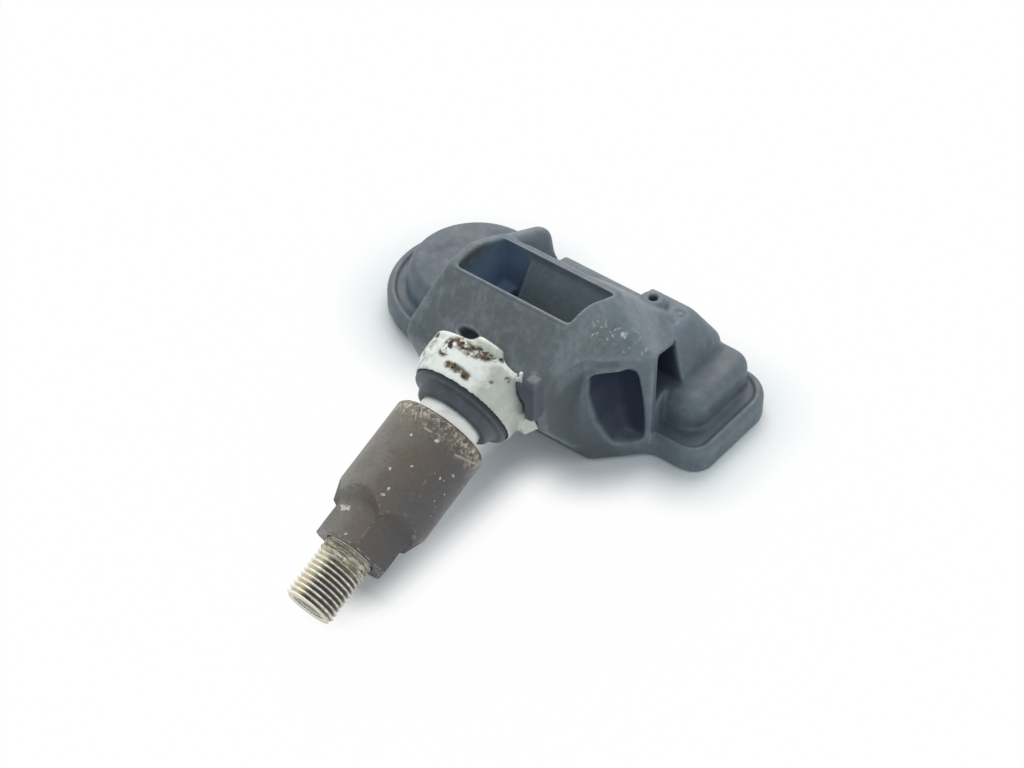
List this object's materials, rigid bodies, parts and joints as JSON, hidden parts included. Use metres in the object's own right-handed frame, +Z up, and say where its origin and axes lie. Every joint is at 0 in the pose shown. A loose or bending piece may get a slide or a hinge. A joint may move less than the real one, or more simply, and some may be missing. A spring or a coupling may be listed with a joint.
{
  "type": "tyre pressure sensor",
  "caption": "Wheel-mounted tyre pressure sensor: a moulded housing with a round and a square wing, and a clamp-in metal valve with grommet and union nut.",
  "frame": {"origin": "on the base plane, on the base's centre line, in the plane of the valve", "axes": "+Z up from the base, +X along the housing to its square wing, -Y towards the valve's tip"},
  "size_m": [0.065, 0.0834, 0.0296],
  "materials": {
    "housing_plastic": "moulded, fine texture, worn edges",
    "cover_plastic": "moulded, plain",
    "valve_alloy": "turned and cast, white oxide on the collar",
    "seal_rubber": "smooth moulded",
    "nut_alloy": "dark anodised, worn",
    "washer_steel": "plated",
    "screw_steel": "plated",
    "core_brass": "turned",
    "spring_steel": "drawn wire",
    "board_laminate": "solder mask",
    "cell_steel": "drawn",
    "tab_nickel": "rolled strip",
    "chip_resin": "moulded",
    "ferrite": "sintered",
    "winding_copper": "enamelled wire",
    "chip_ceramic": "fired"
  },
  "bodies": {
    "sensor": {"housing": "housing_plastic", "base_cover": "cover_plastic", "valve_body": "valve_alloy", "grommet": "seal_rubber", "fixing_screw": "screw_steel", "core_barrel": "core_brass", "core_spring": "spring_steel", "core_gasket": "seal_rubber", "circuit_board": "board_laminate", "battery_cell": "cell_steel", "battery_tab_top": "tab_nickel", "battery_tab_bottom": "tab_nickel", "sensor_chip": "chip_resin", "port_gasket": "seal_rubber", "coil_core": "ferrite", "coil_winding": "winding_copper", "crystal_can": "cell_steel", "chip_capacitors": "chip_ceramic", "antenna_strip": "tab_nickel"},
    "washer": {"slip_washer": "washer_steel"},
    "nut": {"union_nut": "nut_alloy"},
    "core_plunger": {"core_pin": "core_brass", "core_seal": "seal_rubber"}
  },
  "joints": [
    {"name": "nut_travel", "type": "slide", "parent": "sensor", "child": "washer", "axis": [0, -0.9272, -0.3746], "range_m": [0, 0.006]},
    {"name": "nut_turn", "type": "hinge", "parent": "washer", "child": "nut", "pos_m": [0, -0.04929, 0.01109], "axis": [0, -0.9272, -0.3746], "range_deg": [0, 2160]},
    {"name": "core_press", "type": "slide", "parent": "sensor", "child": "core_plunger", "axis": [0, 0.9272, 0.3746], "range_m": [0, 0.0012], "stiffness_N_per_m": 800, "springref_m": -0.0005, "deforming": ["core_spring"]}
  ],
  "couplings": [
    {"joint": "nut_turn", "follows": "nut_travel", "rad_per_m": 6283.2}
  ]
}
